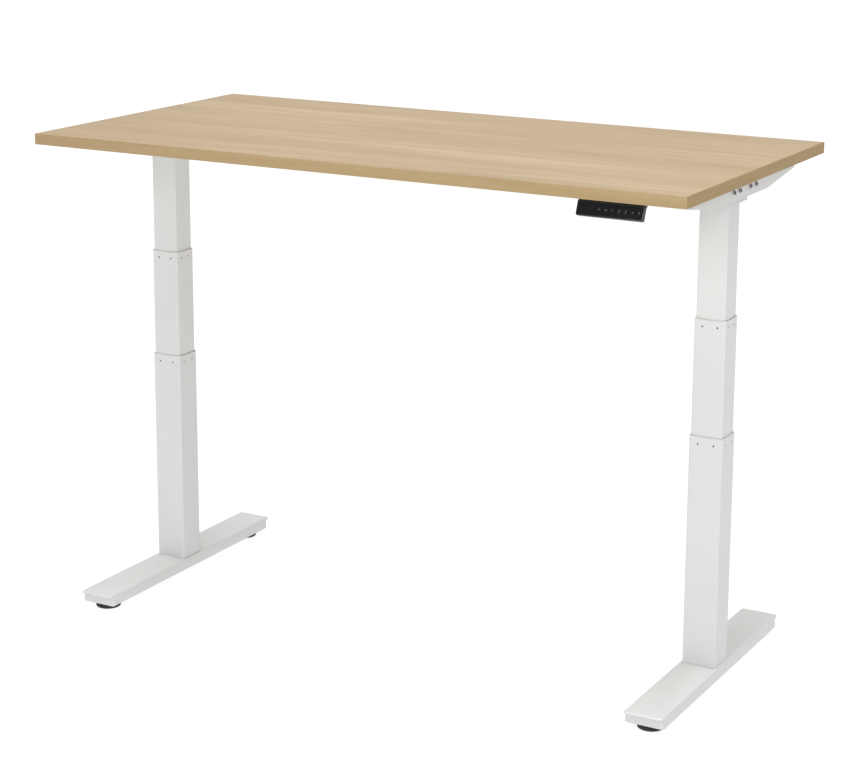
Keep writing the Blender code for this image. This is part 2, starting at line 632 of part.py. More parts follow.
def handset_case():
    """A wedge under the board: a slanted face, and a flange that runs back to be screwed up."""
    half = HANDSET_FACE_HEIGHT / 2
    top = UNDERSIDE - GAP
    face_top = (HANDSET_FACE_Y + half * sin(HANDSET_TILT), HANDSET_FACE_Z + half * cos(HANDSET_TILT))
    face_bottom = (HANDSET_FACE_Y - half * sin(HANDSET_TILT), HANDSET_FACE_Z - half * cos(HANDSET_TILT))
    outline = [(face_bottom[0] + 0.0006, face_bottom[1] - 0.0006),
               (face_bottom[0] + 0.0100, face_bottom[1] + 0.0010),
               (face_bottom[0] + 0.0125, face_bottom[1] + 0.0030),
               (face_top[0] + 0.0110, face_top[1] - 0.0045),
               (HANDSET_BACK_Y, top - HANDSET_FLANGE), (HANDSET_BACK_Y, top),
               (face_top[0] + 0.0010, top), (face_top[0] + 0.0002, face_top[1]), face_bottom]
    case = extruded("handset", [outline], HANDSET_X - HANDSET_WIDTH / 2, HANDSET_X + HANDSET_WIDTH / 2, "X")
    width, height = PANEL_SIZE
    pit = rounded_rectangle(width + 2 * GAP, height + 2 * GAP, 0.001, steps=1)
    cut(case, on_handset(extruded("panel_pit", [pit], -0.004, PANEL_PIT, "Y")))
    last = FIRST_KEY + KEY_PITCH * (len(KEYS) - 1)
    keys_width = last - FIRST_KEY + KEY_SIZE[0] + 0.002
    deep = rounded_rectangle(keys_width, KEY_SIZE[1] + 0.002, 0.001, ((last + FIRST_KEY) / 2, 0.0), steps=1)
    return cut(case, on_handset(extruded("key_pit", [deep], -0.004, KEY_PIT, "Y")))


def build_handset():
    origin = (HANDSET_X, HANDSET_FACE_Y, HANDSET_FACE_Z)
    piece(handset_case(), "handset_case", "black_plastic", origin)
    key_columns = [FIRST_KEY + KEY_PITCH * number for number in range(len(KEYS))]
    front = PANEL_RECESS
    back = PANEL_RECESS + PANEL_THICKNESS

    outline = rounded_rectangle(*PANEL_SIZE, 0.0008, steps=1)
    windows = [rounded_rectangle(KEY_SIZE[0] + 2 * GAP, KEY_SIZE[1] + 2 * GAP, 0.0010, (x, 0.0), steps=1)
               for x in key_columns]
    windows.append(rounded_rectangle(DISPLAY_SIZE[0] + 2 * GAP, DISPLAY_SIZE[1] + 2 * GAP, 0.0008,
                                     (DISPLAY_X, 0.0), steps=1))
    panel = on_handset(extruded("panel", [outline, *windows], front, back, "Y"))
    piece(panel, "handset_panel", "gloss_black_panel", origin)
    window = rounded_rectangle(*DISPLAY_SIZE, 0.0006, (DISPLAY_X, 0.0), steps=1)
    display = on_handset(extruded("display", [window], front, back, "Y"))
    piece(display, "handset_display", "gloss_black_panel", origin)
    for name, x in zip(KEYS, key_columns):
        cap = rounded_rectangle(*KEY_SIZE, 0.0008, (x, 0.0), steps=1)
        key = on_handset(extruded(name, [cap], front, back, "Y"))
        piece(key, name, "gloss_black_panel", tuple(handset_frame() @ Matrix.Translation((x, front, 0.0))
                                                    .to_translation()))


clear_scene()
desk = new_collection(COLLECTION)
cutters = new_collection("cutters")
for side_label, side_sign in SIDES:
    build_column(side_label, side_sign)
build_frame()
build_top()
build_control_box()
build_handset()
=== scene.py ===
"""Looks of the height adjustable standing desk: materials, fine pieces, light and camera."""
from math import cos, pi, radians, sin

import bmesh
import bpy
from mathutils import Matrix, Vector
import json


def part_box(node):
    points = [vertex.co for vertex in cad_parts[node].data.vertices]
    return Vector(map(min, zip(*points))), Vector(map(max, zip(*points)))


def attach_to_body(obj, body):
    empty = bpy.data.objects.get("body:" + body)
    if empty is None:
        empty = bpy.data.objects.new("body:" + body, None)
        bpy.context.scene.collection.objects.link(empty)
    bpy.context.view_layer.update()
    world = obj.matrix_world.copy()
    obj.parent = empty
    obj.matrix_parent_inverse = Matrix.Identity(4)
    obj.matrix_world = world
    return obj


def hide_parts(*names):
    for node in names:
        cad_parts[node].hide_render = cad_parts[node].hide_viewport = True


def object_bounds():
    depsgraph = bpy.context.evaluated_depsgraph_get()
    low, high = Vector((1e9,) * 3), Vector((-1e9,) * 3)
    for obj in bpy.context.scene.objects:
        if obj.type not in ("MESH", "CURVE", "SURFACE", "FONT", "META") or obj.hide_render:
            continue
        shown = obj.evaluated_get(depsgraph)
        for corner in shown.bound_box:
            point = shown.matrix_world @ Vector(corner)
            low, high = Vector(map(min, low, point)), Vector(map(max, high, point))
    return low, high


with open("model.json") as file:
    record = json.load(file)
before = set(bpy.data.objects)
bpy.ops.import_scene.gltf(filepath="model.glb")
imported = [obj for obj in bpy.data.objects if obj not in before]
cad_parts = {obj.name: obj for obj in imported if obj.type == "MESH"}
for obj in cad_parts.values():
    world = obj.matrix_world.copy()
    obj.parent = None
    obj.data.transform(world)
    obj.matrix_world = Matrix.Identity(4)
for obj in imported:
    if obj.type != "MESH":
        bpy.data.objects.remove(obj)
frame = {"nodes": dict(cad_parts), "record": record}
cad_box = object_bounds()

SIDES = (("left", -1), ("right", 1))
GAP = 0.0003                 # between parts that touch
SAME = 1e-5                  # coordinates closer than this are the same
BAND_ROUNDING = 0.0011

# Feet and glides
FOOT_PLATE = 0.0045          # thickness of a foot's top plate, bends included
FOOT_LIP = 0.010             # how far the plate stands out past the pan at each end
FOOT_SHEET = 0.0025
FOOT_PLATE_CORNER = 0.006
FOOT_PAN_CORNER = 0.004
FOOT_FOLD = 0.0026           # radius of the fold round the plate's top
FOOT_EDGE = 0.0011
FOOT_BOLT_PLACES = [(across, along) for across in (-0.024, 0.024) for along in (-0.021, 0.021)]
GLIDE_BOSS_RADIUS = 0.009
GLIDE_HOLE_RADIUS = 0.0043
GLIDE_PAD_HEIGHT = 0.0138
STUD_RADIUS = 0.0039
STUD_ROOT = 0.0034
STUD_CHAMFER = 0.0007
STUD_PITCH = 0.00125
PEG_REACH = 0.0011           # a bush face this near the outside of its tube is the end of a peg

# Frame and motors
RAIL_BOLT = {"head_radius": 0.0050, "head_height": 0.0034, "socket_radius": 0.0037, "shank": (0.0027, 0.0137)}
FOOT_BOLT = {"head_radius": 0.0065, "head_height": 0.0050, "socket_radius": 0.0030}
HEAD_BOLT = {"head_radius": 0.0052, "head_height": 0.0006, "socket_radius": 0.0026}
HEAD_BOLT_Y = 0.047
HEAD_BOLT_INSET = 0.012
FLANGE_X = 0.73225           # middle of a side bracket's flange
FLANGE_SCREW_PLACES = (-0.26, -0.11, 0.11, 0.26)
FLANGE_THICKNESS = 0.003
COLUMN_X = 0.711
GEARBOX_NEAR = 0.689
GEARBOX_FAR = 0.752
GEARBOX_BORE = 0.0055
GEARBOX_BORE_TOP = 1.110
MOTOR_END = 0.590

# Control box
BOX_SCREW_INSET = 0.009
INLET_BLADES = ((-0.127, 0.0140), (-0.120, 0.0185), (-0.113, 0.0140))   # x, height above the lid
SOCKET_TONGUES = (-0.065, -0.035, 0.000)

# Handset
HANDSET_TILT = radians(20.0)
HANDSET_HALF_HEIGHT = 0.016
HANDSET_THICKNESS = 0.0105
HANDSET_CORNER = 0.0036
HANDSET_RIM = 0.0008
HANDSET_FLANGE = 0.0032
HANDSET_SCREW_Y = -0.348
HANDSET_SCREW_INSET = 0.018
PANEL_DEPTH = 0.00105        # from the handset's face in to the middle of its panel
PANEL_PIT = 0.0021
PANEL_HALF_HEIGHT = 0.0131
KEY_PIT = 0.0040
KEY_PIT_HALF_HEIGHT = 0.0100
KEY_HALF_WIDTH = 0.0071
KEY_SHAPES = ("up", "down", "1", "2", "3", "4", "memory")
SYMBOL_SCALE = 1.55
SYMBOL_STROKE = 0.00024

# Camera, by its place, its angles and its lens
CAMERA_PLACE = (2.3608, -4.2268, 1.9009)
CAMERA_TURN = 0.50767        # to the left of +Y
CAMERA_DOWN = 0.21912
CAMERA_ROLL = 0.00418
CAMERA_LENS = 90.55
CAMERA_SHIFT_UP = -0.12

# Light: a large soft key in front, a fill at the right, and a world that is bright overhead
LIGHT_AIM = (0.0, 0.0, 0.7)
KEY = ((0.35, -3.3, 1.85), 42.0, 1.5)
FILL = ((3.0, -2.0, 2.9), 32.5, 1.4)
BACK = ((-2.2, 3.4, 1.1), 8.0, 2.4)
WORLD_STOPS = ((0.00, 0.35), (0.28, 0.25), (0.40, 0.10), (0.78, 0.15), (0.88, 3.5))
FLOOR_COLOUR = (0.15, 0.15, 0.15)
FLOOR_GLOW = 0.90
WHITE = (0.685, 0.690, 0.685)


# ---------------------------------------------------------------- materials

class Shader:
    """A Principled material whose nodes are added one by one."""

    def __init__(self, name, colour, roughness, metallic=0.0, specular=0.5):
        self.material = bpy.data.materials.new(name)
        self.material.use_nodes = True
        self.tree = self.material.node_tree
        self.surface = self.tree.nodes["Principled BSDF"]
        self.surface.inputs["Base Color"].default_value = (*colour, 1.0)
        self.surface.inputs["Roughness"].default_value = roughness
        self.surface.inputs["Metallic"].default_value = metallic
        self.surface.inputs["Specular IOR Level"].default_value = specular
        self.place = self.node("ShaderNodeTexCoord").outputs["Object"]

    def node(self, kind, inputs=None, **settings):
        """A new node, with values or links for its inputs."""
        node = self.tree.nodes.new(kind)
        for key, value in settings.items():
            setattr(node, key, value)
        for key, value in (inputs or {}).items():
            self.feed(node.inputs[key], value)
        return node

    def feed(self, socket, value):
        """Links a socket to an input, or sets the input's own value."""
        if isinstance(value, bpy.types.NodeSocket):
            self.tree.links.new(value, socket)
        else:
            socket.default_value = value

    def stretched(self, scale, place=None):
        """Texture coordinates scaled differently along each axis."""
        return self.node("ShaderNodeMapping", {"Vector": place or self.place, "Scale": scale}).outputs[0]

    def noise(self, place, scale=1.0, detail=4.0, roughness=0.55):
        """Soft noise from 0 to 1."""
        inputs = {"Vector": place, "Scale": scale, "Detail": detail, "Roughness": roughness}
        return self.node("ShaderNodeTexNoise", inputs).outputs["Fac"]

    def spread(self, value, low, high, to_low=0.0, to_high=1.0):
        """Maps low..high of a value to to_low..to_high, clamped."""
        inputs = {"Value": value, "From Min": low, "From Max": high, "To Min": to_low, "To Max": to_high}
        return self.node("ShaderNodeMapRange", inputs).outputs["Result"]

    def blend(self, amount, first, second, mode="MIX"):
        """Mixes two colours."""
        node = self.node("ShaderNodeMix", data_type="RGBA", blend_type=mode)
        colour_inputs = [socket for socket in node.inputs if socket.type == "RGBA"]
        self.feed(node.inputs["Factor"], amount)
        for socket, value in zip(colour_inputs, (first, second)):
            self.feed(socket, value if isinstance(value, bpy.types.NodeSocket) else (*value, 1.0))
        return [socket for socket in node.outputs if socket.type == "RGBA"][0]

    def maths(self, first, second, operation="ADD"):
        """Adds two values, or joins them by another operation."""
        node = self.node("ShaderNodeMath", operation=operation)
        self.feed(node.inputs[0], first)
        self.feed(node.inputs[1], second)
        return node.outputs[0]

    def relief(self, height, distance, strength=1.0, round_edges=0.0):
        """Bump from a height, over edges rounded by a radius."""
        inputs = {"Height": height, "Distance": distance, "Strength": strength}
        if round_edges:
            inputs["Normal"] = self.node("ShaderNodeBevel", {"Radius": round_edges}, samples=6).outputs[0]
        self.feed(self.surface.inputs["Normal"], self.node("ShaderNodeBump", inputs).outputs[0])

    def colour(self, value):
        self.feed(self.surface.inputs["Base Color"], value)

    def roughness(self, value):
        self.feed(self.surface.inputs["Roughness"], value)


def oak(name, light, dark, warm, pore, grain_axis):
    """Pale oak: long soft bands, some of them warmer, fine lines and short pores, all along one axis."""
    shader = Shader(name, light, 0.58, specular=0.15)

    def along(long_scale, cross_scale):
        return [long_scale if axis == grain_axis else cross_scale for axis in "XYZ"]

    # The grain wanders a little across its own direction.
    wander = shader.noise(shader.stretched(along(0.9, 2.2)), detail=2.0)
    wander = shader.maths(shader.maths(wander, 0.5, "SUBTRACT"), 0.10, "MULTIPLY")
    shove = shader.node("ShaderNodeCombineXYZ", {axis: wander for axis in "XYZ" if axis != grain_axis})
    place = shader.node("ShaderNodeVectorMath", {0: shader.place, 1: shove.outputs[0]},
                        operation="ADD").outputs[0]

    bands = shader.noise(shader.stretched(along(0.55, 11.0), place), detail=2.0, roughness=0.5)
    tints = shader.noise(shader.stretched(along(0.80, 17.0), place), scale=1.3, detail=2.0)
    streaks = shader.noise(shader.stretched(along(1.3, 38.0), place), detail=5.0, roughness=0.62)
    lines = shader.noise(shader.stretched(along(6.0, 420.0), place), detail=3.0, roughness=0.6)
    pores = shader.noise(shader.stretched(along(34.0, 1300.0), place), detail=2.0)
    figure = shader.maths(shader.maths(shader.spread(bands, 0.34, 0.66), 0.50, "MULTIPLY"),
                          shader.maths(shader.spread(streaks, 0.35, 0.65), 0.50, "MULTIPLY"))
    colour = shader.blend(figure, dark, light)
    colour = shader.blend(shader.spread(tints, 0.50, 0.66, 0.0, 0.55), colour, warm)
    fibre = shader.spread(lines, 0.35, 0.65, 0.955, 1.03)
    fibre_colour = shader.node("ShaderNodeCombineColor", {axis: fibre for axis in ("Red", "Green", "Blue")})
    colour = shader.blend(1.0, colour, fibre_colour.outputs[0], "MULTIPLY")
    colour = shader.blend(shader.spread(pores, 0.60, 0.72, 0.0, 0.28), colour, pore)
    shader.colour(colour)
    shader.roughness(shader.spread(streaks, 0.3, 0.7, 0.56, 0.64))
    ridges = shader.maths(lines, 0.6, "MULTIPLY")
    pits = shader.spread(pores, 0.6, 0.72, 0.0, -0.8)
    shader.relief(shader.maths(ridges, pits), 0.00008, 0.5)
    return shader.material


def powder_coat(name, colour):
    """White paint baked on steel: a fine orange peel and softly rounded edges."""
    shader = Shader(name, colour, 0.32)
    peel = shader.noise(shader.place, 1100.0, 2.0)
    cloud = shader.noise(shader.place, 9.0, 3.0)
    shader.colour(shader.blend(shader.spread(cloud, 0.35, 0.65), [value * 0.985 for value in colour], colour))
    shader.roughness(shader.spread(shader.noise(shader.place, 260.0, 2.0), 0.3, 0.7, 0.28, 0.37))
    shader.relief(peel, 0.00006, 0.35, round_edges=0.0012)
    return shader.material


def moulded(name, colour, roughness, grain, depth, round_edges=0.0006, specular=0.5):
    """Moulded plastic or rubber with a spark-eroded texture."""
    shader = Shader(name, colour, roughness, specular=specular)
    speck = shader.noise(shader.place, grain, 2.0)
    patch = shader.noise(shader.place, 35.0, 3.0)
    shader.colour(shader.blend(shader.spread(patch, 0.3, 0.7), [value * 0.88 for value in colour], colour))
    shader.roughness(shader.spread(patch, 0.3, 0.7, roughness - 0.04, roughness + 0.05))
    shader.relief(speck, depth, 0.5, round_edges)
    return shader.material


def gloss_panel(name, colour):
    """Polished black plastic, with the faint waviness of a moulded window."""
    shader = Shader(name, colour, 0.09)
    wave = shader.noise(shader.place, 60.0, 2.0)
    smudge = shader.noise(shader.place, 140.0, 4.0)
    shader.roughness(shader.spread(smudge, 0.35, 0.70, 0.07, 0.15))
    shader.relief(wave, 0.00003, 0.4)
    return shader.material


def metal(name, colour, roughness, brushed=(400.0, 400.0, 400.0), round_edges=0.0004):
    """Plated or rolled steel with fine marks."""
    shader = Shader(name, colour, roughness, metallic=1.0)
    marks = shader.noise(shader.stretched(brushed), 1.0, 3.0)
    shader.roughness(shader.spread(marks, 0.3, 0.7, roughness * 0.8, roughness * 1.25))
    shader.colour(shader.blend(shader.spread(marks, 0.3, 0.7), [value * 0.85 for value in colour], colour))
    shader.relief(marks, 0.00003, 0.4, round_edges)
    return shader.material


def threaded(name, colour, pitch):
    """Rolled screw steel: the thread's ribs are a wave up the spindle, with painted shade darkening the grooves
    between them.
    """
    shader = Shader(name, colour, 0.28, metallic=1.0)
    height = shader.node("ShaderNodeSeparateXYZ", {0: shader.place}).outputs["Z"]
    ribs = shader.maths(shader.maths(height, 2 * pi / pitch, "MULTIPLY"), 0.0, "SINE")
    # Painted shade: the colour darkens to 45 % in the grooves between the ribs.
    shader.colour(shader.blend(shader.spread(ribs, -1.0, 0.2), [value * 0.45 for value in colour], colour))
    shader.roughness(shader.spread(shader.noise(shader.place, 300.0), 0.3, 0.7, 0.22, 0.36))
    shader.relief(ribs, 0.0008, 0.8)
    return shader.material


def build_materials():
    """All the looks, by name; most names are slots of the record."""
    return {
        "oak_laminate": oak("oak_laminate", (0.553, 0.436, 0.296), (0.388, 0.292, 0.186),
                            (0.440, 0.318, 0.206), (0.27, 0.190, 0.115), "X"),
        "oak_edge_band": oak("oak_edge_band", (0.438, 0.326, 0.188), (0.358, 0.258, 0.130),
                             (0.385, 0.270, 0.138), (0.24, 0.16, 0.075), "X"),
        "oak_edge_band_across": oak("oak_edge_band_across", (0.422, 0.304, 0.162), (0.350, 0.246, 0.117),
                                    (0.385, 0.265, 0.130), (0.23, 0.150, 0.07), "Y"),
        "white_powder_coat": powder_coat("white_powder_coat", WHITE),
        "grey_guide_plastic": moulded("grey_guide_plastic", (0.66, 0.66, 0.65), 0.5, 900.0, 0.00005),
        # Painted shade: the peg ends are near-black to stand for the shade in the holes they sit in.
        "peg_painted_shade": moulded("peg_painted_shade", (0.06, 0.06, 0.06), 0.5, 900.0, 0.00005),
        "black_plastic": moulded("black_plastic", (0.018, 0.018, 0.020), 0.42, 1500.0, 0.00008),
        "gloss_black_panel": gloss_panel("gloss_black_panel", (0.010, 0.010, 0.011)),
        "spindle_steel": threaded("spindle_steel", (0.55, 0.55, 0.56), 0.004),
        "zinc_bolt": metal("zinc_bolt", (0.42, 0.42, 0.43), 0.30),
        # Painted shade: the socket faces are near-black to stand for the shade inside the hexagon recess.
        "bolt_socket": metal("bolt_socket", (0.05, 0.05, 0.055), 0.5),
        "motor_metal": metal("motor_metal", (0.20, 0.20, 0.21), 0.45, (60.0, 900.0, 900.0)),
        "glide_rubber": moulded("glide_rubber", (0.016, 0.016, 0.017), 0.62, 1100.0, 0.0001),
        "handset_plastic": moulded("handset_plastic", (0.009, 0.009, 0.010), 0.30, 1500.0, 0.00001),
        "print_grey": moulded("print_grey", (0.30, 0.30, 0.30), 0.5, 900.0, 0.00001, 0.0),
        "brass": metal("brass", (0.72, 0.52, 0.24), 0.3),
    }


def dress_frame(materials):
    """Gives every CAD node the material of its slot."""
    for part in frame["record"]["subparts"]:
        node = frame["nodes"][part["node"]]
        node.data.materials.clear()
        node.data.materials.append(materials[part["material_slot"]])


# ---------------------------------------------------------------- shapes

def finished(form, name, material, smooth=35.0):
    """An object made from a form, shaded smooth except over its sharp edges."""
    mesh = bpy.data.meshes.new(name)
    bmesh.ops.recalc_face_normals(form, faces=form.faces)
    form.to_mesh(mesh)
    form.free()
    mesh.shade_smooth()
    mesh.set_sharp_from_angle(angle=radians(smooth))
    mesh.materials.append(material)
    item = bpy.data.objects.new(name, mesh)
    bpy.context.scene.collection.objects.link(item)
    return item


def block_form(low, high):
    """A plain box between two corners."""
    form = bmesh.new()
    bmesh.ops.create_cube(form, size=1.0)
    for vertex in form.verts:
        vertex.co = [a + (value + 0.5) * (b - a) for value, a, b in zip(vertex.co, low, high)]
    return form


def rounded_block(low, high, radius, segments=3, chosen=None):
    """A box whose edges, or those that chosen accepts, are rounded."""
    form = block_form(low, high)
    edges = [edge for edge in form.edges if chosen is None or chosen(edge)]
    bmesh.ops.bevel(form, geom=edges, offset=radius, segments=segments, profile=0.5, affect="EDGES",
                    clamp_overlap=True)
    return form


def runs_along(axis):
    """Chooses the edges that run along an axis, given as 0, 1 or 2."""
    return lambda edge: abs(edge.verts[0].co[axis] - edge.verts[1].co[axis]) > 10 * SAME


def turned_form(profile, sides=48):
    """A profile of (radius, height) from the axis at the top to the axis at the bottom."""
    form = bmesh.new()
    rings = []
    for radius, height in profile:
        if radius < 1e-7:
            rings.append([form.verts.new((0.0, 0.0, height))])
            continue
        turns = [2 * pi * index / sides for index in range(sides)]
        rings.append([form.verts.new((radius * cos(turn), radius * sin(turn), height)) for turn in turns])
    for upper, lower in zip(rings, rings[1:]):
        for index in range(sides):
            after = (index + 1) % sides
            if len(upper) == 1:
                form.faces.new((upper[0], lower[index], lower[after]))
            elif len(lower) == 1:
                form.faces.new((upper[index], lower[0], upper[after]))
            else:
                form.faces.new((upper[index], lower[index], lower[after], upper[after]))
    return form


def outline_form(points, low, high):
    """A flat outline raised from low to high along Z."""
    form = bmesh.new()
    face = form.faces.new([form.verts.new((x, y, low)) for x, y in points])
    raised = bmesh.ops.extrude_face_region(form, geom=[face])["geom"]
    for vertex in [item for item in raised if isinstance(item, bmesh.types.BMVert)]:
        vertex.co.z = high
    return form


def circle(radius, sides, middle=(0.0, 0.0)):
    """The outline of a circle, as a list of points."""
    turns = [2 * pi * index / sides for index in range(sides)]
    return [(middle[0] + radius * cos(turn), middle[1] + radius * sin(turn)) for turn in turns]


def apply_modifiers(item):
    """Bakes an object's modifiers into its mesh and shades it again."""
    evaluated = item.evaluated_get(bpy.context.evaluated_depsgraph_get())
    mesh = bpy.data.meshes.new_from_object(evaluated)
    item.modifiers.clear()
    old = item.data
    item.data = mesh
    bpy.data.meshes.remove(old)
    mesh.shade_smooth()
    mesh.set_sharp_from_angle(angle=radians(35.0))
    return item


def combine(item, tools, operation, keep_looks=False):
    """Cuts or joins shapes into item, and removes them; their materials are kept if keep_looks is set."""
    for tool in tools:
        modifier = item.modifiers.new("shape", "BOOLEAN")
        modifier.material_mode = "TRANSFER" if keep_looks else "INDEX"
        modifier.object = tool
        modifier.operation = operation
        modifier.solver = "EXACT"
        bpy.context.view_layer.update()
        apply_modifiers(item)
        bpy.data.objects.remove(tool)
    return item


def soften(item, width, segments=3, angle=40.0):
    """Rounds an object's sharp edges."""
    modifier = item.modifiers.new("edges", "BEVEL")
    modifier.width = width
    modifier.segments = segments
    modifier.limit_method = "ANGLE"
    modifier.angle_limit = radians(angle)
    bpy.context.view_layer.update()
    return apply_modifiers(item)


def put(item, matrix):
    """Moves an object's mesh, and returns the object."""
    item.data.transform(matrix)
    return item


def attach(item, body, replaced=None):
    """Parents a piece to the body that it moves with, and hides the CAD node that it replaces, if any."""
    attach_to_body(item, body)
    if replaced:
        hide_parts(replaced)
    return item


def tool_shape(form):
    """An object to cut or join with."""
    return finished(form, "tool", looks["black_plastic"])


def facing(point, axis):
    """Moves a shape made along +Z to a point, with its +Z turned to an axis."""
    turn = Vector((0.0, 0.0, 1.0)).rotation_difference(Vector(axis)).to_matrix().to_4x4()
    return Matrix.Translation(point) @ turn


# ---------------------------------------------------------------- tabletop and feet

def build_edge_bands():
    """Edge bands with rounded outer edges, tight against the board."""
    board_low, board_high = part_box("tabletop_board")
    for label, axis, sign in (("front", 1, -1), ("rear", 1, 1), ("left", 0, -1), ("right", 0, 1)):
        node = f"{label}_edge_band"
        low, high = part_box(node)
        inner = board_low[axis] if sign < 0 else board_high[axis]
        if sign < 0:
            high[axis] = inner
        else:
            low[axis] = inner
        outer = low[axis] if sign < 0 else high[axis]
        form = rounded_block(low, high, BAND_ROUNDING, 4,
                             lambda edge: all(abs(vertex.co[axis] - outer) < SAME for vertex in edge.verts))
        look = looks["oak_edge_band"] if axis == 1 else looks["oak_edge_band_across"]
        attach(finished(form, f"{label}_band", look), "top", node)


def build_feet():
    """Folded sheet feet: a pan with rounded edges under a plate that stands out at both ends."""
    for label, _ in SIDES:
        node = f"{label}_foot_bar"
        low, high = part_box(node)
        plate_bottom = high.z - FOOT_PLATE
        form = rounded_block((low.x, low.y, plate_bottom), high, FOOT_PLATE_CORNER, 6, runs_along(2))
        rim = [edge for edge in form.edges if min(vertex.co.z for vertex in edge.verts) > high.z - SAME]
        bmesh.ops.bevel(form, geom=rim, offset=FOOT_FOLD, segments=4, profile=0.5, affect="EDGES")
        plate = finished(form, f"{label}_foot", looks["white_powder_coat"])
        pan_low = Vector((low.x, low.y + FOOT_LIP, low.z))
        pan_high = Vector((high.x, high.y - FOOT_LIP, high.z - FOOT_PLATE / 2))
        pan = tool_shape(rounded_block(pan_low, pan_high, FOOT_PAN_CORNER, 5, runs_along(2)))
        combine(plate, [pan], "UNION")
        hollow_low = pan_low + Vector((FOOT_SHEET, FOOT_SHEET, -0.01))
        hollow_high = Vector((pan_high.x - FOOT_SHEET, pan_high.y - FOOT_SHEET, plate_bottom))
        combine(plate, [tool_shape(block_form(hollow_low, hollow_high))], "DIFFERENCE")
        soften(plate, FOOT_EDGE)
        for end in ("front", "rear"):
            glide_low, glide_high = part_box(f"{label}_{end}_glide")
            middle = (glide_low + glide_high).xy / 2
            boss = outline_form(circle(GLIDE_BOSS_RADIUS, 32, middle), low.z + 0.002, high.z - FOOT_PLATE / 2)
            combine(plate, [tool_shape(boss)], "UNION")
            hole = outline_form(circle(GLIDE_HOLE_RADIUS, 24, middle), low.z - 0.01, high.z - 0.003)
            combine(plate, [tool_shape(hole)], "DIFFERENCE")
        attach(plate, "base", node)
        middle_x = (low.x + high.x) / 2
        for across, along in FOOT_BOLT_PLACES:
            bolt = put(socket_bolt(**FOOT_BOLT), facing((middle_x + across, along, plate_bottom), (0, 0, -1)))
            bolt.name = f"{label}_foot_bolt_{'n' if across < 0 else 'p'}{'n' if along < 0 else 'p'}"
            attach(bolt, "base")


def glide_profile(radius, top):
    """Half outline of a glide, from the top of its stud to the floor: (radius, height) pairs."""
    chamfer_bottom = top - STUD_CHAMFER
    stud = chamfer_bottom - GLIDE_PAD_HEIGHT
    turns = int(stud / STUD_PITCH)
    pitch = stud / turns
    profile = [(0.0, top), (STUD_ROOT - 0.0002, top), (STUD_RADIUS, chamfer_bottom)]
    for step in range(turns):
        crest = chamfer_bottom - step * pitch
        profile += [(STUD_RADIUS, crest), (STUD_ROOT, crest - pitch / 2)]
    pad = GLIDE_PAD_HEIGHT
    collar = [(STUD_RADIUS, pad), (0.0075, pad), (0.0078, pad - 0.0004)]
    dome = [(radius - 0.0100, pad - 0.0010), (radius - 0.0050, pad - 0.0022), (radius - 0.0020, pad - 0.0042),
            (radius - 0.0004, pad - 0.0070), (radius, pad - 0.0090)]
    sole = [(radius - 0.0002, 0.0022), (radius - 0.0008, 0.0009), (radius - 0.0022, 0.0), (0.0, 0.0)]
    return profile + collar + dome + sole


def build_glides():
    """Levelling glides: a domed pad with a soft rim, and its threaded stud."""
    for label, _ in SIDES:
        for end in ("front", "rear"):
            node = f"{label}_{end}_glide"
            low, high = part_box(node)
            middle = (low + high) / 2
            profile = glide_profile((high.x - low.x) / 2 - 0.0001, high.z)
            glide = finished(turned_form(profile), f"{label}_{end}_pad", looks["glide_rubber"], 50.0)
            put(glide, Matrix.Translation((middle.x, middle.y, 0.0)))
            attach(glide, node, node)


def build_bushes():
    """The guide bushes, with the ends of their pegs in near-black: painted shade of the holes that the pegs sit
    in.
    """
    for label, _ in SIDES:
        for stage, body in (("outer", "base"), ("middle", f"{label}_middle_stage")):
            node = f"{label}_{stage}_bush"
            form = bmesh.new()
            form.from_mesh(frame["nodes"][node].data)
            low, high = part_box(f"{label}_{stage}_tube")
            middle = (low + high) / 2
            half = (high - low) / 2
            for face in form.faces:
                away = face.calc_center_median() - middle
                # Faces at the ends of the pegs get the near-black painted shade of their holes.
                if abs(away.x) > half.x - PEG_REACH or abs(away.y) > half.y - PEG_REACH:
                    face.material_index = 1
            bush = finished(form, f"{label}_{stage}_guide", looks["grey_guide_plastic"])
            bush.data.materials.append(looks["peg_painted_shade"])
            attach(bush, body, node)


# ---------------------------------------------------------------- fasteners

def socket_bolt(head_radius, head_height, socket_radius, shank=None):
    """A cap head bolt along +Z, its seat at the origin, with a hexagonal socket."""
    edge = head_height * 0.12
    profile = [(0.0, head_height), (head_radius - edge, head_height), (head_radius, head_height - edge),
               (head_radius, edge * 0.6), (head_radius - edge * 0.6, 0.0)]
    if shank:
        profile += [(shank[0], 0.0), (shank[0], -shank[1] + 0.0008), (shank[0] - 0.0008, -shank[1]),
                    (0.0, -shank[1])]
    else:
        profile += [(0.0, 0.0)]
    bolt = finished(turned_form(profile, 32), "bolt", looks["zinc_bolt"])
    # The socket's cut faces take the near-black painted shade of the recess.
    hexagon = finished(outline_form(circle(socket_radius, 6), head_height * 0.3, head_height + 0.002),
                       "socket", looks["bolt_socket"])
    return combine(bolt, [hexagon], "DIFFERENCE", keep_looks=True)


def pan_screw(head_radius, head_height):
    """A pan head wood screw's head along +Z, with a cross recess."""
    profile = [(0.0, head_height)]
    for step in range(1, 7):
        turn = step / 6 * pi / 2
        profile.append((head_radius * sin(turn), head_height * (0.25 + 0.75 * cos(turn))))
    profile += [(head_radius, 0.0), (0.0, 0.0)]
    screw = finished(turned_form(profile, 28), "screw", looks["zinc_bolt"])
    arm = head_radius * 0.55
    slot = head_radius * 0.13
    tools = [tool_shape(block_form((-x, -y, head_height * 0.45), (x, y, head_height * 1.5)))
             for x, y in ((arm, slot), (slot, arm))]
    return combine(screw, tools, "DIFFERENCE")


def copy_of(item, name):
    """A second object with a mesh of its own."""
    other = item.copy()
    other.data = item.data.copy()
    other.name = name
    bpy.context.scene.collection.objects.link(other)
    return other


